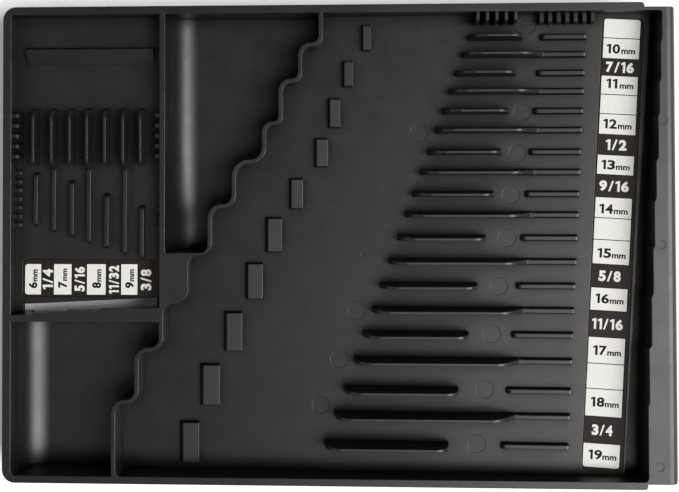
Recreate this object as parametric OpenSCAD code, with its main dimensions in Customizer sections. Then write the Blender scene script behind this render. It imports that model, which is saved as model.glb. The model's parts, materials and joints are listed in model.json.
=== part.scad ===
// Wrench rack: one thin-walled moulding with two printed size strips.
// Lengths are in mm. The pull is at +X, the small compartment at -X and +Y, up is +Z.
// Plan positions are measured from the back left corner of the rim, then centred.

/* [Overall] */
// Length, back rim to the edge of the pull
tray_l = 337; // [335:1:340]
// Width over the side rims
tray_w = 240; // [239:1:243]
// Height, table to rim
tray_h = 25; // [24:0.5:27]
// Wall and floor thickness
wall_t = 2; // [1.6:0.1:2.2]

/* [Rim and pull] */
// Width of the rim, outer edge to inner face
rim_w = 4.2; // [3.8:0.1:4.6]
// Depth of the lip under the rim
lip_h = 3.5; // [2.5:0.5:6]
// Outer corner radius at the back
back_corner_r = 6.5; // [5:0.5:9]
// Length of the pull, beyond the side rims
pull_l = 15.8; // [14:0.2:18]
// Depth of the pull's turned-down edge
pull_edge_h = 12; // [8:1:16]
// Rounding along the pull's edge
pull_round = 5; // [3:0.25:6]

/* [Main floor] */
// Height of the main floor at its back end
main_floor_z = 7.4; // [6:0.2:9]
// Rise of the main floor towards the pull, mm per mm
main_slope = 0.025; // [0.02:0.001:0.028]
// Depth of the gutter in front of the size strip
gutter_d = 3; // [1.5:0.5:4]

/* [Small compartment] */
// Height of the small floor at its strip end
small_floor_z = 17; // [16:0.2:18]
// Fall of the small floor away from its strip, mm per mm
small_slope = 0.021; // [0.015:0.001:0.025]
// Width of the slot beside the crossbar
slot_w = 4.2; // [3:0.2:5]
// Height of the skirt under the crossbar's edge
skirt_h = 7.5; // [5:0.5:9]
// Height of the openings in the outer walls under the small floor
arch_h = 12; // [8:0.5:14]
// Length of the tall ribs in the small compartment
small_tall_l = 27; // [24:0.5:30]

/* [Bins] */
// Thickness of the bin floors
bin_floor_t = 2; // [1.6:0.2:3]
// Rounding where a bin floor meets its back wall
bin_fillet = 14; // [9:1:16]

/* [Ribs] */
// Drop of the tall ribs under the rim
rib_drop = 1; // [0.5:0.5:3]
// Height of the low ribs
low_rib_h = 3; // [2:0.5:4]
// Thickness of a tall rib at the floor
rib_foot = 3; // [2.4:0.2:3.2]
// Thickness of a tall rib at its top
rib_top = 1.2; // [1:0.1:2]
// Length of the curve at the back end of a tall rib
rib_back_l = 8; // [4:0.5:10]
// Height of the curve at the back end of a tall rib
rib_back_h = 11; // [4:0.5:12]
// Length of the curve at the front end of a tall rib
rib_front_l = 6.5; // [3:0.5:8]
// Height of the curve at the front end of a tall rib
rib_front_h = 8.5; // [3:0.5:9.5]
// Length of the curve from a tall rib down to its low rib
curve_l = 15; // [8:1:18]
// Thickness of a low rib at the floor
low_foot = 3.5; // [3:0.1:3.8]
// Thickness of a low rib at its top
low_top = 1.9; // [1.4:0.1:2.4]
// Length of the slope at the back end of a low rib
low_slope_l = 1.4; // [1:0.2:4]
// Height of the rest pads at their ridge
pad_h = 3.2; // [2:0.2:4]
// Fall of a pad's face towards the pull, in degrees
pad_fall = 2.5; // [2:0.5:10]
// Height of the rest ramp in the small compartment
ramp_h = 3; // [2:0.2:4]

/* [Combs] */
// Reach of the comb teeth on the side wall
comb_reach = 5.3; // [3:0.1:6]
// Thickness of a tall comb tooth
tall_tooth_t = 1.5; // [1.2:0.1:2]
// Thickness of a low comb tooth
low_tooth_t = 2; // [1.4:0.1:2.4]
// Reach of the comb teeth in the small compartment
small_reach = 3.6; // [2:0.2:5]

/* [Size strips] */
// Thickness of a printed strip
strip_t = 0.3; // [0.2:0.1:0.4]
// Depth of the recess that holds a strip
recess_d = 0.5; // [0.4:0.1:0.8]
// Width of the main strip
main_strip_w = 20; // [18:0.2:21]
// Lean of the main strip, in degrees
strip_lean = 3.08; // [2.5:0.02:3.6]
// Space between the main strip's ends and the side walls
strip_end = 2.2; // [1.5:0.1:4]
// Width of the small strip
small_strip_w = 18.6; // [16:0.1:19]
// Length of the small strip
small_strip_l = 68.4; // [66:0.2:71.4]
// Clearance round a strip in its recess
strip_gap = 0.3; // [0.2:0.05:0.5]
// Depth of the ejector marks in the floors
mark_d = 0.12; // [0.08:0.02:0.3]

/* [Hidden] */
eps = 0.01;
big = 400;
high = 60;
clear = 5;
side_rim_l = tray_l - pull_l;
top_y = tray_w - rim_w + 0.2;
low_y = rim_w - 0.6;
back_x = rim_w;
pull_y = [rim_w - 1.6, tray_w - rim_w + 1.9];
floor_a = atan(main_slope);
rib_z = tray_h - rib_drop;
// Side walls that the row places below are given for; row() spreads them over another width
rows_at = [3.6, 236];
function row(y) = low_y + (y - rows_at[0]) * (top_y - low_y) / (rows_at[1] - rows_at[0]);
function rows(v) = [for (y = v) row(y)];
// The front wall, the ribs and the main strip keep their places from the rims' front ends
front_at = 321.2;
dx = side_rim_l - front_at;
function shifted(v) = [for (x = v) x + dx];

// Graded wall: its main-side faces from the first pair of slots to the last, and the jogs between.
step_x = [162.2, 151.8, 141.9, 133.6, 118.4, 106.2, 94.3, 81.7, 69.3, 57.5];
step_y = rows([219.1, 200.9, 179.6, 160.4, 138.1, 114.4, 90.3, 66.2, 39.9]);
// Front wall: its inner faces and the small jogs between.
front_x = shifted([329.8, 329.1, 328.3, 327.6, 326.4, 325.4, 324.6, 323.6, 322.3, 321.6]);
front_y = rows([221, 201.3, 184.4, 162.2, 142, 118.5, 95.2, 69.8, 41.6]);
// Ribs in pairs of slots: the split ones and the connected ones between them.
split_y = rows([224.3, 206.0, 186.7, 166.0, 144.7, 122.5, 98.2, 73.5, 45.4, 17.6]);
joined_y = rows([215.4, 196.7, 177.0, 155.8, 134.2, 110.5, 85.9, 60.3, 32.5]);
// Rest pads: back edge and length along the wrenches, one for each pair of slots.
pad_x = [181.7, 171.9, 164.4, 157.4, 144.4, 132.0, 121.6, 110.4, 98.1, 87.6];
pad_y = rows([224.7, 206.3, 186.2, 165.9, 144.8, 123.7, 99.9, 73.9, 46.5, 17.0]);
pad_l = [4.9, 5.6, 6.4, 7.1, 7.2, 8.7, 9.2, 9.8, 10.5, 10.2];
pad_w = [13.4, 13.5, 15.4, 15.0, 16.0, 18.0, 19.0, 20.5, 21.5, 21.4];
pad_back = 0.2;
// Rib ends at the low wall: tall ribs, the drop of the joined ones, and low ribs
tall_back_x = 156.4;
tall_front_x = 221.8;
drop_x = 251;
low_back_x = 249.6;
low_front_x = 284.9;
// Strip and gutter: back edge of the strip at the low wall, back edges of the gutter at both walls
strip_x = 292.1 + dx;
gutter_x = shifted([313, 327.7]);
// Combs on the side wall: first tooth and pitch, tall and low
tall_comb = 239.6 + dx;
tall_pitch = 4.68;
low_comb = 272.5 + dx;
low_pitch = 4.25;
// Ejector marks: on the floor between the ribs, in the open, and on the pull
mark_r = 4.5;
gap_mark_x = shifted([266.1, 263.3, 260.6, 257.5, 255.4, 251.2, 247.5, 243.8, 239.7]);
gap_mark_y = rows([230.6, 186.3, 165.4, 144.1, 122.3, 97.9, 73.6, 45.7, 17.9]);
open_mark_x = [211.2, 179.2, 169.9, 160.6];
open_mark_y = rows([175.8, 85.1, 60.1, 36.5]);
pull_mark_r = 2.1;
pull_mark_x = shifted([329.9, 328.6, 326.9]);
pull_mark_y = rows([181.5, 120.2, 11.2]);
gate_x = 182.4;
gate_y = 113.8;

// The small compartment
div_x = 79.9;
div_t = 2.6;
small_rib_x = [14.9, 24.3, 33.6, 42.4, 51.6, 60.9, 69.7];
small_low_y = rows([128.5, 125.4, 122.9, 119.8, 117.2, 114.2, 112.1]);
small_split = [156.2, 0, 152.1, 0, 145.4, 0, 139.2];
small_tall_at = 161.3;
small_tall_y = row(small_tall_at);
ramp_at = [211.7, 219.3];
ramp_y = rows(ramp_at);
ramp_x = [9.1, 75];
small_strip_x = 8;
small_strip_y = 92.6;
small_comb_y = rows([184.8, 155.8, 141.5]);
small_pitch = [5.15, 4.43, 4.5];
plateau_y = rows([90.3, 115.6]);
bin_b_at = 80.9;
bin_b_y = row(bin_b_at);
slot_x = [8.5, 77.2];
slot_at = 88.7;
slot_y = row(slot_at);
slot_lean = 0.0495;
slot_step_x = [14.5, 31.1, 48.4];
// Where the floors have the heights given above
main_floor_x = 60;
small_floor_at = 92;
small_floor_y = row(small_floor_at);

function main_z(x) = main_floor_z + (x - main_floor_x) * main_slope;
function small_z(y) = small_floor_z - (y - small_floor_y) * small_slope;
// Straight lines that the rib ends follow across the tray
function tall_start(y) = tall_back_x + dx + 0.357 * y;
function tall_end(y) = tall_front_x + dx + 0.184 * y;
function drop_at(y) = drop_x + dx + 0.081 * y;
function low_start(y) = low_back_x + dx + 0.101 * y;
function low_end(y) = low_front_x + dx + 0.049 * y;

// Edges of the slot beside the crossbar: straight on the strip's side, stepped on the other
function slot_near(x) = slot_y + (x - slot_x[0]) * slot_lean;
function slot_far_path(x0, x1, t) = concat(
    [[x0, slot_near(x0) - slot_w - t]],
    [for (x = slot_step_x) for (p = [
        [x - 1, slot_near(x - 1) - slot_w - 0.4 - t],
        [x + 1, slot_near(x + 1) - slot_w + 0.4 - t]]) p],
    [[x1, slot_near(x1) - slot_w - t]]
);

function bow(cx, cy, rx, ry, a0, a1, n) =
    [for (k = [0 : n]) let(a = a0 + (a1 - a0) * k / n) [cx + rx * cos(a), cy + ry * sin(a)]];

function arc(cx, cy, r, a0, a1, n) = bow(cx, cy, r, r, a0, a1, n);

function s_curve(x0, z0, x1, z1, n) =
    [for (k = [0 : n]) let(s = k / n) [x0 + (x1 - x0) * s, z0 + (z1 - z0) * (1 - cos(180 * s)) / 2]];

// One face of the graded wall, jogs a to b: t = 0 is the main side, t = wall_t the bin side.
function wall_face(t, a, b) = [
    for (i = [a : b])
        let(d = step_x[i] - step_x[i + 1], rc = d * 0.53, rv = d * 0.42, y = step_y[i])
        for (p = concat(
            arc(step_x[i] - rc, y + rc, rc - t, 0, -90, 7),
            arc(step_x[i + 1] + rv, y - rv, rv + t, 90, 180, 7)))
            p
];

function front_face(t) = [
    for (i = [0 : len(front_y) - 1])
        for (p = [[front_x[i] + t, front_y[i] + 1], [front_x[i + 1] + t, front_y[i] - 1]])
            p
];

function reversed(v) = [for (i = [len(v) - 1 : -1 : 0]) v[i]];

// Plan of the main compartment
module main_plan() {
    polygon(concat(
        [[step_x[0], top_y]],
        wall_face(0, 0, 8),
        arc(step_x[9] + 3, low_y + 3, 3, 180, 270, 4),
        arc(front_x[9] - 2, low_y + 2, 2, 270, 360, 4),
        reversed(front_face(0)),
        arc(front_x[0] - 1.2, top_y - 1.2, 1.2, 0, 90, 3)
    ));
}

// Outline of the moulding below its lip
module body_plan() {
    r = back_corner_r - 2;
    polygon(concat(
        arc(back_x - wall_t + r, low_y - wall_t + r, r, 180, 270, 6),
        [[side_rim_l - 1, low_y - wall_t], [side_rim_l - 1, pull_y[0]]],
        arc(front_x[9] + wall_t - 1, pull_y[0] + 1, 1, 270, 360, 3),
        reversed(front_face(wall_t)),
        [[front_x[0] + wall_t, pull_y[1]], [side_rim_l - 1, pull_y[1]], [side_rim_l - 1, top_y + wall_t]],
        arc(back_x - wall_t + r, top_y + wall_t - r, r, 90, 180, 6)
    ));
}

module rim_plan() {
    r = back_corner_r;
    q = 1.5;
    polygon(concat(
        arc(r, r, r, 180, 270, 8),
        arc(side_rim_l - q, q, q, 270, 360, 3),
        arc(side_rim_l - q, tray_w - q, q, 0, 90, 3),
        arc(r, tray_w - r, r, 90, 180, 8)
    ));
}

// Front pull: a plate level with the rim that curls down along its edge, with rounded corners
module pull() {
    r = pull_round;
    x0 = side_rim_l - clear;
    x1 = tray_l - r;
    intersection() {
        translate([0, tray_w, 0])
        rotate([90, 0, 0])
        linear_extrude(tray_w)
        polygon(concat(
            [[x0, tray_h]],
            arc(x1, tray_h - r, r, 90, 0, 8),
            [[tray_l, tray_h - pull_edge_h], [tray_l - wall_t, tray_h - pull_edge_h]],
            arc(x1, tray_h - r, r - wall_t, 0, 90, 6),
            [[x0, tray_h - wall_t]]
        ));
        linear_extrude(tray_h)
        translate([x0, pull_y[0]])
        rounded_strip(tray_l - x0, pull_y[1] - pull_y[0], 2);
    }
}

// Everything above or below the main floor
module main_space(lift, up) {
    z0 = main_z(0) + lift;
    z1 = main_z(big) + lift;
    intersection() {
        translate([0, 0, -1])
        linear_extrude(tray_h + 2)
        main_plan();
        translate([0, tray_w + 1, 0])
        rotate([90, 0, 0])
        linear_extrude(tray_w + 2)
        polygon([[0, z0], [big, z1], [big, up ? high : -high], [0, up ? high : -high]]);
    }
}

// Plan of the small compartment above its floor
module small_plan() {
    polygon(concat(
        [[back_x, top_y]],
        slot_far_path(back_x, div_x, 0),
        [[div_x, top_y]]
    ));
}

module small_space() {
    z0 = small_z(0);
    z1 = small_z(big);
    intersection() {
        linear_extrude(tray_h + 1)
        small_plan();
        rotate([90, 0, 90])
        linear_extrude(div_x + 1)
        polygon([[0, z0], [big, z1], [big, high], [0, high]]);
    }
    y0 = bin_b_y + wall_t;
    intersection() {
        translate([back_x, y0, -1])
        cube([div_x - back_x, top_y - y0, tray_h + 1]);
        rotate([90, 0, 90])
        linear_extrude(div_x + 1)
        polygon([[0, z0 - wall_t], [big, z1 - wall_t], [big, -high], [0, -high]]);
    }
}

// Slot beside the crossbar, and the space under the crossbar
module slot_space() {
    y0 = bin_b_y + wall_t;
    slot_end = [[slot_x[1], slot_near(slot_x[1])], [slot_x[0], slot_near(slot_x[0])]];
    translate([0, 0, -1])
    linear_extrude(tray_h + 2)
    polygon(concat(slot_far_path(slot_x[0], slot_x[1], 0), slot_end));
    translate([0, 0, -1])
    linear_extrude(tray_h - skirt_h + 1)
    polygon(concat([[slot_x[0], y0], [slot_x[1], y0]], slot_end));
    translate([0, 0, -1])
    linear_extrude(tray_h - wall_t + 1)
    polygon(concat(
        slot_far_path(slot_x[0], slot_x[1], 1.4),
        [[slot_x[1], y0 - 1], [slot_x[0], y0 - 1]]
    ));
}

// A bin: its plan, deepened to a floor that curves up to the back wall
module bin_space(x0) {
    f = bin_fillet;
    intersection() {
        translate([0, 0, -1])
        linear_extrude(tray_h + 2)
        children();
        translate([0, tray_w + 1, 0])
        rotate([90, 0, 0])
        linear_extrude(tray_w + 2)
        polygon(concat(
            [[x0 - 1, high], [x0 - 1, bin_floor_t + f + 0.4]],
            arc(x0 + f, bin_floor_t + f, f, 180, 270, 16),
            [[big, bin_floor_t], [big, high]]
        ));
    }
}

module bin_a_plan() {
    x0 = div_x + div_t;
    polygon(concat(
        [[x0, top_y], [x0, plateau_y[1]]],
        arc(step_x[5] - wall_t - 4, plateau_y[1] + 4, 4, 270, 360, 5),
        reversed(wall_face(wall_t, 0, 4)),
        [[step_x[0] - wall_t, top_y]]
    ));
}

module bin_b_plan() {
    polygon(concat(
        arc(back_x + 3, low_y + 3, 3, 180, 270, 4),
        [[step_x[9] - wall_t, low_y]],
        reversed(wall_face(wall_t, 7, 8)),
        [[step_x[7] - wall_t, bin_b_y], [back_x, bin_b_y]]
    ));
}

module shell() {
    difference() {
        union() {
            linear_extrude(tray_h)
            body_plan();
            translate([0, 0, tray_h - lip_h])
            linear_extrude(lip_h)
            rim_plan();
            pull();
        }
        main_space(0, true);
        main_space(-wall_t, false);
        small_space();
        slot_space();
        bin_space(div_x + div_t)
        bin_a_plan();
        bin_space(back_x)
        bin_b_plan();
        // Under the plateau
        translate([div_x + div_t, plateau_y[0] + wall_t, -1])
        cube([
            step_x[6] - wall_t - div_x - div_t,
            plateau_y[1] - plateau_y[0] - 2 * wall_t,
            tray_h - wall_t + 1
        ]);
        // The outer walls stop short round the small compartment, so light reaches under it
        translate([-1, bin_b_y + wall_t, -1])
        cube([back_x + 1 + eps, tray_w, arch_h + 1]);
        translate([-1, top_y - eps, -1])
        cube([div_x + 1, rim_w + 1, arch_h + 1]);
        ejector_marks();
    }
}

// Cuts a profile, drawn in X and Z, to a rib that is thick at the floor and thin at its top
module rib(y, foot_z, top_z, foot, top, profile) {
    intersection() {
        translate([0, y + foot, 0])
        rotate([90, 0, 0])
        linear_extrude(2 * foot)
        polygon(profile);
        translate([0, y, 0])
        rotate([90, 0, 90])
        linear_extrude(big)
        polygon([
            [-foot / 2 - 0.15, foot_z - 1.2], [foot / 2 + 0.15, foot_z - 1.2],
            [top / 2, top_z], [-top / 2, top_z]
        ]);
    }
}

// Low rib, drawn along X from the origin, with rounded ends and a slope at its back
module low_rib_form(l) {
    h = low_rib_h;
    q = low_foot / 2 - 0.5;
    intersection() {
        translate([0, low_foot, 0])
        rotate([90, 0, 0])
        linear_extrude(2 * low_foot)
        polygon([
            [0, -1], [0, 0.2], [low_slope_l, h - 0.3], [low_slope_l + 0.8, h],
            [l - 1.6, h], [l - 0.8, h - 0.3], [l, 0.2], [l, -1]
        ]);
        rotate([90, 0, 90])
        linear_extrude(l)
        polygon([
            [-low_foot / 2, -1], [low_foot / 2, -1], [low_foot / 2, 0.2],
            [low_top / 2, h], [-low_top / 2, h], [-low_foot / 2, 0.2]
        ]);
        translate([0, -low_foot / 2, -1])
        linear_extrude(h + 2)
        rounded_strip(l, low_foot, q);
    }
}

// Low rib along the sloped main floor
module low_rib(y, x0, x1) {
    translate([x0, y, main_z(x0)])
    rotate([0, -floor_a, 0])
    low_rib_form(x1 - x0);
}

// Back end of a tall rib, as seen from the side
function tall_rib_back(x) = concat(
    [[x - 0.5, main_z(x) - 1]],
    bow(x + rib_back_l, rib_z - rib_back_h, rib_back_l, rib_back_h, 180, 90, 9)
);

module split_rib(y) {
    x0 = tall_start(y);
    x1 = tall_end(y);
    f = rib_front_l;
    rib(y, main_z(x0), rib_z, rib_foot, rib_top, concat(
        tall_rib_back(x0),
        bow(x1 - f, rib_z - rib_front_h, f, rib_front_h, 90, 0, 8),
        [[x1 + 0.5, main_z(x1) - 1]]
    ));
    low_rib(y, low_start(y), low_end(y));
}

module joined_rib(y) {
    x0 = tall_start(y);
    xd = drop_at(y);
    xe = xd + curve_l / 2 + 2;
    rib(y, main_z(x0), rib_z, rib_foot, rib_top, concat(
        tall_rib_back(x0),
        s_curve(xd - curve_l / 2, rib_z, xe, main_z(xd) + low_rib_h / 2, 12),
        [[xe, main_z(xd) - 1]]
    ));
    low_rib(y, xd - 3, low_end(y));
}

// Wedge pads that the thin ends of the wrenches lie on
module rest_pad(i) {
    x0 = pad_x[i];
    l = pad_l[i];
    w = pad_w[i];
    z = main_z(x0);
    x1 = l * pad_back;
    intersection() {
        translate([x0, pad_y[i] + w / 2, z])
        rotate([90, 0, 0])
        linear_extrude(w)
        polygon([[0, -1], [0, 0.3], [x1, pad_h], [l, pad_h - (l - x1) * tan(pad_fall)], [l, -1]]);
        translate([x0, pad_y[i], z])
        rotate([90, 0, 90])
        linear_extrude(l)
        polygon([
            [-w / 2, -1], [w / 2, -1], [w / 2, 0.2],
            [w / 2 - 0.7, pad_h], [0.7 - w / 2, pad_h], [-w / 2, 0.2]
        ]);
    }
}

// Comb tooth on the side wall, reaching d towards -Y, with a sloped nose
module comb_tooth(x, z0, z1, d, t) {
    translate([x - t / 2, 0, 0])
    rotate([90, 0, 90])
    linear_extrude(t)
    polygon([
        [top_y + 0.5, z0 - 1], [top_y - d, z0 - 1], [top_y - d, z1 - 1.6],
        [top_y - d + 1.2, z1], [top_y + 0.5, z1]
    ]);
}

module main_combs() {
    for (k = [0 : 4]) {
        x = tall_comb + tall_pitch * k;
        comb_tooth(x, main_z(x), rib_z, comb_reach, tall_tooth_t);
    }
    for (k = [0 : 6]) {
        x = low_comb + low_pitch * k;
        comb_tooth(x, main_z(x), main_z(x) + low_rib_h + 1.2, comb_reach, low_tooth_t);
    }
}

// Comb tooth on a wall of the small compartment: at x, reaching d along X
module side_tooth(x, d, y, h) {
    t = low_tooth_t;
    s = sign(d);
    z0 = small_z(y) - 1;
    translate([x, y + t / 2, 0])
    rotate([90, 0, 0])
    linear_extrude(t)
    polygon([[-s / 2, z0], [d, z0], [d, h - 1], [d - 0.8 * s, h], [-s / 2, h]]);
}

module small_combs() {
    low_h = small_z(small_tall_y) + low_rib_h;
    for (k = [0 : 4]) {
        side_tooth(back_x, small_reach, small_comb_y[0] - small_pitch[0] * k, rib_z);
        side_tooth(div_x, 0.6 - small_reach, small_comb_y[0] - small_pitch[0] * k, rib_z);
    }
    for (k = [0 : 6])
        side_tooth(back_x, small_reach, small_comb_y[1] - small_pitch[1] * k, low_h);
    for (k = [0 : 3])
        side_tooth(div_x, 0.6 - small_reach, small_comb_y[2] - small_pitch[2] * k, low_h);
}

// Rib of the small compartment: tall towards the back, low towards the strip
module small_rib(i) {
    x = small_rib_x[i];
    y0 = small_low_y[i];
    joined = small_split[i] == 0;
    ya = small_tall_y;
    yb = ya + small_tall_l;
    ys = joined ? ya - 6.5 : ya - 1.5;
    zs = small_z(ya) + 0.8;
    foot = rib_foot - 0.2;
    intersection() {
        translate([x - 3, 0, 0])
        rotate([90, 0, 90])
        linear_extrude(6)
        polygon(concat(
            [[ys, small_z(ya) - 1]],
            joined ? s_curve(ys, zs, ya + 1.5, rib_z, 9) : arc(ys + 3, rib_z - 3, 3, 180, 90, 5),
            arc(yb - 5, rib_z - 5, 5, 90, 0, 5),
            [[yb + 0.4, small_z(yb) - 1]]
        ));
        translate([x, yb + 1, 0])
        rotate([90, 0, 0])
        linear_extrude(small_tall_l + 9)
        polygon([
            [-foot / 2, small_z(ya) - 1.2], [foot / 2, small_z(ya) - 1.2],
            [rib_top / 2, rib_z], [-rib_top / 2, rib_z]
        ]);
    }
    ye = joined ? ya - 2 : row(small_split[i]);
    translate([x, ye, small_z(ye)])
    rotate([-atan(small_slope), 0, 0])
    rotate([0, 0, -90])
    low_rib_form(ye - y0);
}

// Rest ramp for the thin ends of the small wrenches
module small_ramp() {
    z = small_z(ramp_y[1]);
    translate([ramp_x[0], 0, 0])
    rotate([90, 0, 90])
    linear_extrude(ramp_x[1] - ramp_x[0])
    polygon([
        [ramp_y[0], z - 1], [ramp_y[0], z + 0.3], [ramp_y[1], z + ramp_h],
        [ramp_y[1] + 1.1, z + 0.3], [ramp_y[1] + 1.1, z - 1]
    ]);
}

// Plan of the main size strip, grown by g all round
module main_strip_plan(g) {
    l = (top_y - low_y - 2 * strip_end) / cos(strip_lean);
    translate([strip_x, low_y + strip_end])
    rotate(-strip_lean)
    translate([-g, -g])
    rounded_strip(main_strip_w + 2 * g, l + 2 * g, 2.4 + g);
}

module rounded_strip(w, l, r) {
    polygon(concat(
        arc(r, r, r, 180, 270, 4),
        arc(w - r, r, r, 270, 360, 4),
        arc(w - r, l - r, r, 0, 90, 4),
        arc(r, l - r, r, 90, 180, 4)
    ));
}

module small_strip_plan(g) {
    translate([small_strip_x - g, row(small_strip_y) - g])
    rounded_strip(small_strip_l + 2 * g, small_strip_w + 2 * g, 2 + g);
}

// The layer between two heights over the main floor, over a plan
module main_layer(z0, z1) {
    intersection() {
        linear_extrude(high)
        children();
        translate([0, tray_w, 0])
        rotate([90, 0, 0])
        linear_extrude(tray_w)
        polygon([
            [0, main_z(0) + z0], [big, main_z(big) + z0],
            [big, main_z(big) + z1], [0, main_z(0) + z1]
        ]);
    }
}

module small_layer(z0, z1) {
    intersection() {
        linear_extrude(high)
        children();
        rotate([90, 0, 90])
        linear_extrude(big)
        polygon([
            [0, small_z(0) + z0], [big, small_z(big) + z0],
            [big, small_z(big) + z1], [0, small_z(0) + z1]
        ]);
    }
}

// Gutter between the strip's land and the front wall, grown by g for its own floor
module gutter_plan(g) {
    polygon(concat(
        [[gutter_x[1] - g, top_y + g / 2], [gutter_x[0] - g, low_y - g / 2]],
        [[front_x[9] + g / 2, low_y - g / 2]],
        reversed(front_face(g / 2)),
        [[front_x[0] + g / 2, top_y + g / 2]]
    ));
}

module gutter_cut() {
    main_layer(-gutter_d, clear)
    intersection() {
        gutter_plan(0);
        main_plan();
    }
}

// Shallow round marks that the ejector pins and the gate leave
module ejector_marks() {
    main_layer(-mark_d, 1)
    for (i = [0 : 8])
        translate([gap_mark_x[i], gap_mark_y[i]])
        circle(r = mark_r, $fn = 40);
    main_layer(-mark_d, 1)
    for (i = [0 : 3])
        translate([open_mark_x[i], open_mark_y[i]])
        circle(r = mark_r, $fn = 40);
    main_layer(-mark_d, 1)
    translate([gate_x, row(gate_y)])
    circle(r = 1.1, $fn = 16);
    translate([0, 0, tray_h - mark_d])
    linear_extrude(1)
    for (i = [0 : 2])
        translate([pull_mark_x[i], pull_mark_y[i]])
        circle(r = pull_mark_r, $fn = 28);
}

module tray() {
    color("#232324")
    translate([-tray_l / 2, -tray_w / 2, 0])
    difference() {
        union() {
            shell();
            for (y = split_y)
                split_rib(y);
            for (y = joined_y)
                joined_rib(y);
            for (i = [0 : 9])
                rest_pad(i);
            main_combs();
            for (i = [0 : 6])
                small_rib(i);
            small_combs();
            small_ramp();
            main_layer(-gutter_d - wall_t, -wall_t / 2)
            gutter_plan(wall_t * 0.8);
        }
        gutter_cut();
        main_layer(-recess_d, clear)
        main_strip_plan(strip_gap);
        small_layer(-recess_d, clear)
        small_strip_plan(strip_gap);
    }
}

module main_size_label() {
    color("#dcddd6")
    translate([-tray_l / 2, -tray_w / 2, 0])
    main_layer(-recess_d, strip_t - recess_d)
    main_strip_plan(0);
}

module small_size_label() {
    color("#dcddd6")
    translate([-tray_l / 2, -tray_w / 2, 0])
    small_layer(-recess_d, strip_t - recess_d)
    small_strip_plan(0);
}

tray();
main_size_label();
small_size_label();
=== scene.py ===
"""Wrench rack: black moulded tray with two printed size strips, dressed around its CAD frame."""
import json
import math

import bpy
from mathutils import Matrix, Vector

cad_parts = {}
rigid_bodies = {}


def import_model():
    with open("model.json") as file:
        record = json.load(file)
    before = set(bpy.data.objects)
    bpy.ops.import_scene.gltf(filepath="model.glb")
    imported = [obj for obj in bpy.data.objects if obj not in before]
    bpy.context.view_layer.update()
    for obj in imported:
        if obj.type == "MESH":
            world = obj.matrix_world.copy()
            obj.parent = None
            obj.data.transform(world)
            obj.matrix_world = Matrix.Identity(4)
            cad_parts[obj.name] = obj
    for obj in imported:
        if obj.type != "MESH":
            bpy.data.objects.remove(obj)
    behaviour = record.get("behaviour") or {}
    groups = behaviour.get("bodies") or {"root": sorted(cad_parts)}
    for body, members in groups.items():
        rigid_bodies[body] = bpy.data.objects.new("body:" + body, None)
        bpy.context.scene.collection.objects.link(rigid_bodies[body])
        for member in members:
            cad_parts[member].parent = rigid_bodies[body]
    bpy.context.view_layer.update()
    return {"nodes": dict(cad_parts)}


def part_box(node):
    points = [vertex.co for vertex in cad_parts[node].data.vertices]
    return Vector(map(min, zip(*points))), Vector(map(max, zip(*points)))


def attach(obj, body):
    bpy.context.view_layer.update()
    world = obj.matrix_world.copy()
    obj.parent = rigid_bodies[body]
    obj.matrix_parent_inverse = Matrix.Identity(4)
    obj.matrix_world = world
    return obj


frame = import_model()

MM = 0.001
TRAY_LOW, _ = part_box("tray")
BACK_X = TRAY_LOW.x
SIDE_Y = TRAY_LOW.y


def at(x_mm, y_mm, z_mm=0.0):
    """Place in the shared frame of a point measured from the tray's back left rim corner."""
    return Vector((BACK_X + x_mm * MM, SIDE_Y + y_mm * MM, z_mm * MM))


# The sloped floors, as in the part's source: one known place, its height, and the slope
MAIN_FLOOR_X, MAIN_FLOOR_Z, MAIN_SLOPE = 60.0, 7.4, 0.025
SMALL_FLOOR_Y, SMALL_FLOOR_Z, SMALL_SLOPE = 92.0, 17.0, 0.021


def main_floor(x_mm):
    return MAIN_FLOOR_Z + (x_mm - MAIN_FLOOR_X) * MAIN_SLOPE


def small_floor(y_mm):
    return SMALL_FLOOR_Z - (y_mm - SMALL_FLOOR_Y) * SMALL_SLOPE


RECESS_DEPTH = 0.5
STRIP_THICK = 0.3


# Materials
class Nodes:
    """Adds shader nodes to one material and links them."""

    def __init__(self, name):
        self.material = bpy.data.materials.new(name)
        self.material.use_nodes = True
        self.tree = self.material.node_tree
        self.tree.nodes.clear()

    def add(self, kind, **values):
        node = self.tree.nodes.new(kind)
        for key, value in values.items():
            setattr(node, key, value)
        return node

    def link(self, source, target):
        self.tree.links.new(source, target)

    def finish(self, shader):
        output = self.add("ShaderNodeOutputMaterial")
        self.link(shader.outputs["BSDF"], output.inputs["Surface"])
        return self.material


def noise(nodes, coordinates, scale, detail=4.0, roughness=0.55):
    made = nodes.add("ShaderNodeTexNoise")
    made.inputs["Scale"].default_value = scale
    made.inputs["Detail"].default_value = detail
    made.inputs["Roughness"].default_value = roughness
    nodes.link(coordinates, made.inputs["Vector"])
    return made


def ramp(nodes, value, low, high, colors):
    made = nodes.add("ShaderNodeValToRGB")
    for stop, position, color in zip(made.color_ramp.elements, (low, high), colors):
        stop.position = position
        stop.color = (*color, 1.0)
    nodes.link(value, made.inputs["Fac"])
    return made


def spread(nodes, value, from_range=(0.0, 1.0), to_range=(0.0, 1.0)):
    """Carries a value from one range to another and holds it inside the second."""
    made = nodes.add("ShaderNodeMapRange")
    made.inputs["From Min"].default_value, made.inputs["From Max"].default_value = from_range
    made.inputs["To Min"].default_value, made.inputs["To Max"].default_value = to_range
    nodes.link(value, made.inputs["Value"])
    return made.outputs["Result"]


def relief(nodes, height, strength, distance):
    """Fine relief of a surface from a height value."""
    made = nodes.add("ShaderNodeBump")
    made.inputs["Strength"].default_value = strength
    made.inputs["Distance"].default_value = distance
    nodes.link(height, made.inputs["Height"])
    return made


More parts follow.
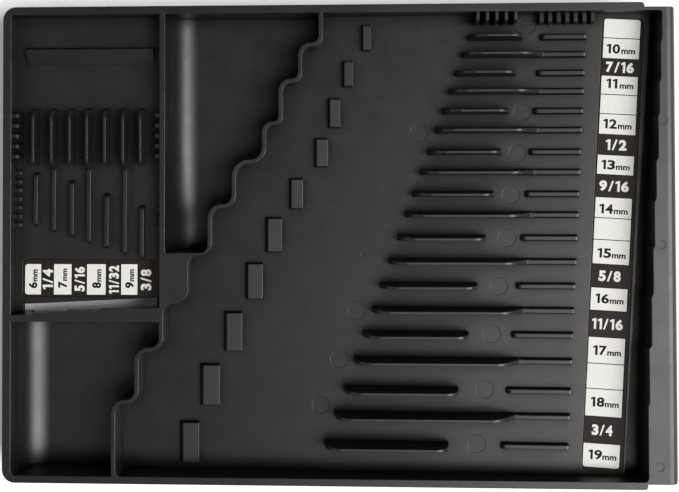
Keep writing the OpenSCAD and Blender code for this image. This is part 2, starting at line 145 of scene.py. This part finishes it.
def open_air(nodes, distance):
    """How open a point's surroundings are, within a distance in metres."""
    made = nodes.add("ShaderNodeAmbientOcclusion", samples=6, only_local=True)
    made.inputs["Distance"].default_value = distance
    return made.outputs["AO"]


# Rounding of the outer edges, in metres, and the roughness of their polish
EDGE_RADIUS = 0.0005
EDGE_ROUGHNESS = 0.2


def black_moulded_plastic():
    nodes = Nodes("black_moulded_plastic")
    place = nodes.add("ShaderNodeTexCoord").outputs["Object"]
    shader = nodes.add("ShaderNodeBsdfPrincipled")
    shader.inputs["IOR"].default_value = 1.5
    shader.inputs["Specular Tint"].default_value = (1.0, 0.985, 0.955, 1.0)
    # Painted shade: narrow gaps and the feet of ribs get less shine than open floors, which
    # darkens them where shade falls
    crevice_painted_shade = spread(nodes, open_air(nodes, 0.009), (0.35, 0.95), (0.12, 0.5))
    nodes.link(crevice_painted_shade, shader.inputs["Specular IOR Level"])

    flow = noise(nodes, place, 14.0, 3.0)
    colour = ramp(nodes, flow.outputs["Fac"], 0.3, 0.75,
                  ((0.0050, 0.0050, 0.0052), (0.0075, 0.0075, 0.0077)))
    nodes.link(colour.outputs["Color"], shader.inputs["Base Color"])

    # Outer edges are slightly rounded; the feet of ribs and walls stay sharp
    soft_edge = nodes.add("ShaderNodeBevel", samples=6)
    soft_edge.inputs["Radius"].default_value = EDGE_RADIUS
    sharp = nodes.add("ShaderNodeNewGeometry")
    normal = nodes.add("ShaderNodeMix", data_type="VECTOR")
    nodes.link(spread(nodes, open_air(nodes, 0.0007), (0.76, 0.92)), normal.inputs["Factor"])
    nodes.link(sharp.outputs["Normal"], normal.inputs["A"])
    nodes.link(soft_edge.outputs["Normal"], normal.inputs["B"])
    grain = noise(nodes, place, 2600.0, 2.0, 0.5)
    bump = relief(nodes, grain.outputs["Fac"], 0.10, 0.00006)
    nodes.link(normal.outputs["Result"], bump.inputs["Normal"])
    nodes.link(bump.outputs["Normal"], shader.inputs["Normal"])

    # Uneven gloss; handling has polished the outer edges
    scuffs = noise(nodes, place, 90.0, 6.0, 0.65)
    turned = nodes.add("ShaderNodeVectorMath", operation="DOT_PRODUCT")
    nodes.link(normal.outputs["Result"], turned.inputs[0])
    nodes.link(sharp.outputs["Normal"], turned.inputs[1])
    rough = nodes.add("ShaderNodeMix", data_type="FLOAT")
    rough.inputs["A"].default_value = EDGE_ROUGHNESS
    nodes.link(spread(nodes, turned.outputs["Value"], (0.80, 0.98)), rough.inputs["Factor"])
    nodes.link(spread(nodes, scuffs.outputs["Fac"], to_range=(0.30, 0.50)), rough.inputs["B"])
    nodes.link(rough.outputs["Result"], shader.inputs["Roughness"])
    return nodes.finish(shader)


def printed_paper(name, colour, shade, rough, gloss=0.5):
    nodes = Nodes(name)
    place = nodes.add("ShaderNodeTexCoord").outputs["Object"]
    shader = nodes.add("ShaderNodeBsdfPrincipled")
    fibres = noise(nodes, place, 700.0, 4.0)
    tint = ramp(nodes, fibres.outputs["Fac"], 0.3, 0.7, (shade, colour))
    nodes.link(tint.outputs["Color"], shader.inputs["Base Color"])
    shader.inputs["Roughness"].default_value = rough
    shader.inputs["Specular IOR Level"].default_value = gloss
    bump = relief(nodes, fibres.outputs["Fac"], 0.05, 0.00003)
    nodes.link(bump.outputs["Normal"], shader.inputs["Normal"])
    return nodes.finish(shader)


def pale_floor():
    nodes = Nodes("pale_floor")
    diffuse = nodes.add("ShaderNodeBsdfDiffuse")
    diffuse.inputs["Color"].default_value = (0.93, 0.93, 0.93, 1.0)
    return nodes.finish(diffuse)


BLACK = black_moulded_plastic()
WHITE_PRINT = printed_paper("white_print", (0.66, 0.66, 0.608), (0.61, 0.61, 0.561), 0.5)
DARK_PRINT = printed_paper("dark_print", (0.019, 0.0125, 0.0115), (0.015, 0.0098, 0.009),
                           0.5, gloss=0.12)
BLACK_INK = printed_paper("black_ink", (0.010, 0.010, 0.010), (0.008, 0.008, 0.008),
                          0.6, gloss=0.08)


def dress(name, material):
    node = frame["nodes"][name]
    node.data.materials.clear()
    node.data.materials.append(material)


dress("tray", BLACK)
dress("main_size_label", DARK_PRINT)
dress("small_size_label", DARK_PRINT)


# Modelling helpers
def clear_selection():
    for thing in bpy.context.view_layer.objects:
        thing.select_set(False)


def make_active(thing):
    clear_selection()
    bpy.context.view_layer.objects.active = thing
    thing.select_set(True)


def settle(thing, name, material):
    """Applies a piece's place and gives it its name and material."""
    make_active(thing)
    bpy.ops.object.transform_apply(location=True, rotation=True, scale=True)
    thing.name = name
    thing.data.name = name
    thing.data.materials.clear()
    thing.data.materials.append(material)


def join(things, name, material):
    """Makes one piece of several parts of print."""
    clear_selection()
    for thing in things:
        thing.select_set(True)
    bpy.context.view_layer.objects.active = things[0]
    bpy.ops.object.join()
    whole = bpy.context.view_layer.objects.active
    settle(whole, name, material)
    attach(whole, "root")


PRINT_THICK = 0.02
# How far each kind of print lies above its strip
BORDER_LIFT = 0.002
FIELD_LIFT = 0.02
WHITE_LIFT = 0.035
BLACK_LIFT = 0.055
# Corner radii of a field of print, at the strip's own corners and elsewhere
ROUND_CORNER = 1.3
PLAIN_CORNER = 0.2


def thicken():
    """Makes a closed plate of the flat face that is being edited."""
    bpy.ops.mesh.select_all(action="SELECT")
    bpy.ops.mesh.extrude_region_move(TRANSFORM_OT_translate={"value": (0, 0, PRINT_THICK * MM)})
    bpy.ops.mesh.select_all(action="SELECT")
    bpy.ops.mesh.normals_make_consistent(inside=False)
    bpy.ops.object.mode_set(mode="OBJECT")


def printed_field(matrix, width, height, round_corners=()):
    """A thin field of print: a plate centred on its place, some of its corners well rounded."""
    clear_selection()
    bpy.ops.mesh.primitive_plane_add(size=1.0, location=(0, 0, 0))
    field = bpy.context.object
    field.scale = (width * MM, height * MM, 1.0)
    bpy.ops.object.transform_apply(scale=True)
    bpy.ops.object.mode_set(mode="EDIT")
    bpy.ops.mesh.select_mode(type="VERT")
    for wanted, radius in ((True, ROUND_CORNER), (False, PLAIN_CORNER)):
        bpy.ops.mesh.select_all(action="DESELECT")
        bpy.ops.object.mode_set(mode="OBJECT")
        for corner in field.data.vertices:
            side = (1 if corner.co.x > 0 else -1, 1 if corner.co.y > 0 else -1)
            at_corner = (abs(abs(corner.co.x) - width * MM / 2) < 1e-7
                         and abs(abs(corner.co.y) - height * MM / 2) < 1e-7)
            corner.select = at_corner and (side in round_corners) == wanted
        picked = any(corner.select for corner in field.data.vertices)
        bpy.ops.object.mode_set(mode="EDIT")
        if picked:
            bpy.ops.mesh.bevel(offset=radius * MM, segments=5, affect="VERTICES")
    thicken()
    field.matrix_world = matrix
    return field


# Outlines of the figure 1 and the fraction stroke, in a box one wide and one high
OWN_SHAPES = {"1": ((0.50, 0.0), (1.0, 0.0), (1.0, 1.0), (0.55, 1.0), (0.0, 0.86), (0.12, 0.70),
                    (0.50, 0.78)),
              "/": ((0.0, 0.0), (0.34, 0.0), (1.0, 1.0), (0.66, 1.0))}
# Relative widths of the signs and of the space between two of them
SIGN_W = {"1": 0.40, "/": 0.46, "6": 0.66, "9": 0.66}
USUAL_SIGN_W = 0.64
SIGN_GAP = 0.12
TYPE_SIZE = 6.0


def drawn_sign(sign):
    """One of the own outlines as a thin closed mesh."""
    clear_selection()
    shape = OWN_SHAPES[sign]
    bpy.ops.mesh.primitive_circle_add(vertices=len(shape), radius=1.0, fill_type="NGON",
                                      location=(0, 0, 0))
    drawn = bpy.context.object
    for corner, place in zip(drawn.data.vertices, shape):
        corner.co = (place[0] * MM, place[1] * MM, -PRINT_THICK * MM / 2)
    bpy.ops.object.mode_set(mode="EDIT")
    thicken()
    return drawn


def typed_signs(signs, weight):
    """Signs of the plain font as a thin mesh, thickened by a weight."""
    clear_selection()
    bpy.ops.object.text_add(location=(0, 0, 0))
    letters = bpy.context.object
    letters.data.body = signs
    letters.data.size = TYPE_SIZE * MM
    letters.data.offset = weight * MM
    letters.data.extrude = PRINT_THICK * MM / 2
    letters.data.resolution_u = 4
    make_active(letters)
    bpy.ops.object.convert(target="MESH")
    return bpy.context.object


def fitted(figure, matrix, left, width, height):
    """Stretches a sign to its box on a line of print and puts it there."""
    xs = [corner.co.x for corner in figure.data.vertices]
    ys = [corner.co.y for corner in figure.data.vertices]
    grow = (width * MM / (max(xs) - min(xs)), height * MM / (max(ys) - min(ys)))
    make_active(figure)
    figure.scale = (grow[0], grow[1], 1.0)
    figure.location = (left * MM - grow[0] * min(xs), -grow[1] * (max(ys) + min(ys)) / 2, 0)
    bpy.ops.object.transform_apply(location=True, scale=True)
    figure.matrix_world = matrix
    return figure


def printed_words(matrix, words, width, height, weight):
    """A size of a given width and height, centred on its place and thickened by a weight."""
    if words == "mm":
        return [fitted(typed_signs(words, weight), matrix, -width / 2, width, height)]
    widths = [SIGN_W.get(sign, USUAL_SIGN_W) for sign in words]
    stretch = width / (sum(widths) + SIGN_GAP * (len(words) - 1))
    left = -width / 2
    figures = []
    for sign, sign_w in zip(words, widths):
        figure = drawn_sign(sign) if sign in OWN_SHAPES else typed_signs(sign, weight)
        figures.append(fitted(figure, matrix, left, sign_w * stretch, height))
        left += (sign_w + SIGN_GAP) * stretch
    return figures


def join_print(strip, borders, fields, black_words, white_words):
    """Makes the four pieces of one strip's print."""
    for parts, kind, material in ((borders, "cell_borders", BLACK_INK),
                                  (fields, "white_cells", WHITE_PRINT),
                                  (black_words, "black_sizes", BLACK_INK),
                                  (white_words, "white_sizes", WHITE_PRINT)):
        join(parts, f"{strip}_{kind}", material)


# Main size strip. Its white cells' left edge runs from its bottom corner to its top corner
STRIP_BOTTOM = (292.3, 6.8)
STRIP_TOP = (304.9, 233.3)
STRIP_TURN = -math.atan((STRIP_TOP[0] - STRIP_BOTTOM[0]) / (STRIP_TOP[1] - STRIP_BOTTOM[1]))
STRIP_CELL_W = 18.1
# Cell edges from the top down, and the size that each cell shows
MAIN_EDGES = [233.3, 223.4, 213.0, 204.4, 194.8, 185.0, 174.6, 164.3, 154.3, 142.9,
              132.4, 121.4, 109.1, 97.3, 85.7, 72.4, 59.1, 46.4, 32.5, 19.1, 6.9]
MAIN_SIZES = ["", "10", "7/16", "11", "", "12", "1/2", "13", "9/16", "14",
              "", "15", "5/8", "16", "11/16", "17", "", "18", "3/4", "19"]
# How far each size stands above the lower edge of its cell, and how wide each fraction is
MAIN_FOOT = {"10": 2.8, "11": 3.4, "12": 3.2, "13": 2.8, "14": 2.4,
             "15": 3.4, "16": 3.9, "17": 4.4, "18": 5.1, "19": 4.3}
FRACTION_W = {"7/16": 13.9, "1/2": 10.5, "9/16": 14.7, "5/8": 10.9, "11/16": 15.4, "3/4": 10.2}
# The black border round white cells, and the gap between two of them
BORDER = 0.45
CELL_GAP = 0.42
# Height and weight of the fractions; width, height and weight of the sizes and of their unit
FRACTION_H, FRACTION_WEIGHT = 5.4, 0.30
SIZE_W, SIZE_11_W, SIZE_H, SIZE_WEIGHT = 6.9, 5.6, 4.85, 0.20
UNIT_W, UNIT_H, UNIT_WEIGHT = 6.9, 2.2, 0.20


def on_main_strip(along_mm, across_mm, lift_mm):
    """Place on the main strip: along it from its bottom end, across it from its middle."""
    turn = Matrix.Rotation(STRIP_TURN, 4, "Z")
    local = turn @ Vector((across_mm, along_mm, 0.0))
    x_mm = STRIP_BOTTOM[0] + STRIP_CELL_W / 2 + local.x
    y_mm = STRIP_BOTTOM[1] + local.y
    z_mm = main_floor(x_mm) - RECESS_DEPTH + STRIP_THICK + lift_mm
    slope = Matrix.Rotation(-math.atan(MAIN_SLOPE), 4, "Y")
    return Matrix.Translation(at(x_mm, y_mm, z_mm)) @ slope @ turn


def main_strip_print():
    borders, fields, black_words, white_words = [], [], [], []
    last = len(MAIN_SIZES) - 1
    ends = {0: ((-1, 1), (1, 1)), last: ((-1, -1), (1, -1))}
    along = [(edge - STRIP_BOTTOM[1]) / math.cos(STRIP_TURN) for edge in MAIN_EDGES]
    for i, (size, high, low) in enumerate(zip(MAIN_SIZES, along, along[1:])):
        middle = (high + low) / 2
        if "/" in size:
            white_words.extend(printed_words(
                on_main_strip(middle, -0.2, WHITE_LIFT), size,
                FRACTION_W[size], FRACTION_H, FRACTION_WEIGHT))
            continue
        round_corners = ends.get(i, ())
        borders.append(printed_field(
            on_main_strip(middle, 0.0, BORDER_LIFT),
            STRIP_CELL_W + 2 * BORDER, high - low + BORDER, round_corners))
        fields.append(printed_field(
            on_main_strip(middle, 0.0, FIELD_LIFT),
            STRIP_CELL_W - 0.1, high - low - CELL_GAP, round_corners))
        if size:
            # Further down the strip, sizes stand a little more to the right
            down = i / last
            foot = low + MAIN_FOOT[size]
            black_words.extend(printed_words(
                on_main_strip(foot + 2.2, -4.0 + 0.9 * down, BLACK_LIFT), size,
                SIZE_11_W if size == "11" else SIZE_W, SIZE_H, SIZE_WEIGHT))
            black_words.extend(printed_words(
                on_main_strip(foot + 0.9, 3.5 + 0.5 * down, BLACK_LIFT), "mm",
                UNIT_W, UNIT_H, UNIT_WEIGHT))
    join_print("main", borders, fields, black_words, white_words)


# Small size strip: its white cells, then its sizes as (text, middle x, middle y, length, height)
SMALL_CELLS = [(8.95, 17.2), (23.9, 32.95), (41.0, 50.65), (58.65, 67.0)]
SMALL_CELL_Y = (93.5, 109.0)
SMALL_SIZES = [("6", 13.0, 98.2, 3.1, 4.5), ("7", 28.4, 98.6, 3.3, 4.6),
               ("8", 46.0, 98.3, 3.1, 4.7), ("9", 63.0, 98.4, 3.1, 4.6)]
SMALL_FRACTIONS = [("1/4", 20.7, 101.3, 10.4, 5.3), ("5/16", 37.2, 101.4, 12.6, 5.3),
                   ("11/32", 54.9, 101.1, 14.5, 5.2), ("3/8", 71.5, 101.1, 10.6, 5.5)]


def on_small_strip(x_mm, y_mm, lift_mm):
    """Place on the small strip, turned so that its sizes read from the right."""
    z_mm = small_floor(y_mm) - RECESS_DEPTH + STRIP_THICK + lift_mm
    slope = Matrix.Rotation(-math.atan(SMALL_SLOPE), 4, "X")
    return Matrix.Translation(at(x_mm, y_mm, z_mm)) @ slope @ Matrix.Rotation(math.pi / 2, 4, "Z")


def small_strip_print():
    borders, fields, black_words, white_words = [], [], [], []
    cell_y = sum(SMALL_CELL_Y) / 2
    cell_l = SMALL_CELL_Y[1] - SMALL_CELL_Y[0]
    for left, right in SMALL_CELLS:
        # Turned with the strip's sizes, a cell's upper side faces the back of the tray
        round_corners = ((-1, 1), (1, 1)) if left == SMALL_CELLS[0][0] else ()
        middle = (left + right) / 2
        borders.append(printed_field(
            on_small_strip(middle, cell_y, BORDER_LIFT),
            cell_l + BORDER, right - left + 1.5 * BORDER, round_corners))
        fields.append(printed_field(
            on_small_strip(middle, cell_y, FIELD_LIFT), cell_l, right - left, round_corners))
    for size, x_mm, y_mm, length, height in SMALL_SIZES:
        black_words.extend(printed_words(
            on_small_strip(x_mm, y_mm, BLACK_LIFT), size, length, height, 0.26))
        black_words.extend(printed_words(
            on_small_strip(x_mm + height / 2 - 1.0, y_mm + 5.0, BLACK_LIFT), "mm", 6.3, 2.1, 0.24))
    for size, x_mm, y_mm, length, height in SMALL_FRACTIONS:
        white_words.extend(printed_words(
            on_small_strip(x_mm, y_mm, WHITE_LIFT), size, length, height, 0.28))
    join_print("small", borders, fields, black_words, white_words)


main_strip_print()
small_strip_print()


# Stage
FLOOR_SIZE = 60.0
# Soft lamps: name, strength, width in degrees, and the way towards each
LAMPS = [("key_lamp", 3.9, 38.0, (0.66, -0.15, 0.74)),
         ("top_lamp", 0.66, 26.0, (0.25, -0.26, 0.93)),
         ("fill_lamp", 0.5, 60.0, (-0.78, -0.05, 0.62))]
LAMP_DISTANCE = 1.5
WORLD_STRENGTH = 0.03
BAND_STRENGTH = 1.0


def add_floor():
    clear_selection()
    bpy.ops.mesh.primitive_plane_add(size=FLOOR_SIZE, location=(0, 0, -0.0002))
    ground = bpy.context.object
    ground.name = "stage_floor"
    ground.data.materials.append(pale_floor())


def add_lamps():
    """A large soft lamp over the pull's side, a weak one overhead and one from the back."""
    for name, strength, width, way in LAMPS:
        lamp = bpy.data.lights.new(name, "SUN")
        lamp.energy = strength
        lamp.angle = math.radians(width)
        thing = bpy.data.objects.new(name, lamp)
        bpy.context.scene.collection.objects.link(thing)
        way = Vector(way).normalized()
        thing.location = way * LAMP_DISTANCE
        thing.rotation_euler = (-way).to_track_quat("-Z", "Y").to_euler()


def add_world():
    """A dim studio with a pale band all round at the height of the horizon."""
    world = bpy.data.worlds.new("studio")
    bpy.context.scene.world = world
    world.use_nodes = True
    tree = world.node_tree
    tree.nodes.clear()
    place = tree.nodes.new("ShaderNodeTexCoord")
    height = tree.nodes.new("ShaderNodeSeparateXYZ")
    band = tree.nodes.new("ShaderNodeMapRange")
    band.inputs["From Min"].default_value = 0.16
    band.inputs["From Max"].default_value = 0.30
    band.inputs["To Min"].default_value = BAND_STRENGTH
    band.inputs["To Max"].default_value = WORLD_STRENGTH
    light = tree.nodes.new("ShaderNodeBackground")
    light.inputs["Color"].default_value = (1.0, 1.0, 1.0, 1.0)
    output = tree.nodes.new("ShaderNodeOutputWorld")
    tree.links.new(place.outputs["Generated"], height.inputs["Vector"])
    tree.links.new(height.outputs["Z"], band.inputs["Value"])
    tree.links.new(band.outputs["Result"], light.inputs["Strength"])
    tree.links.new(light.outputs["Background"], output.inputs["Surface"])


def add_camera():
    """The photo's camera: nearly square on to the rim, a little off the rack's middle."""
    lens = bpy.data.cameras.new("photo_camera")
    lens.sensor_width = 36.0
    lens.lens = 50.9
    lens.shift_x = 0.0626
    lens.shift_y = -0.1473
    camera = bpy.data.objects.new("photo_camera", lens)
    bpy.context.scene.collection.objects.link(camera)
    turn = (Matrix.Rotation(0.00197, 3, "Z") @ Matrix.Rotation(-0.01739, 3, "X")
            @ Matrix.Rotation(-0.03999, 3, "Y"))
    camera.rotation_euler = turn.transposed().to_euler()
    camera.location = at(168.35, 160.83, 505.0)
    bpy.context.scene.camera = camera


add_floor()
add_lamps()
add_world()
add_camera()
bpy.context.scene.view_settings.view_transform = "Standard"
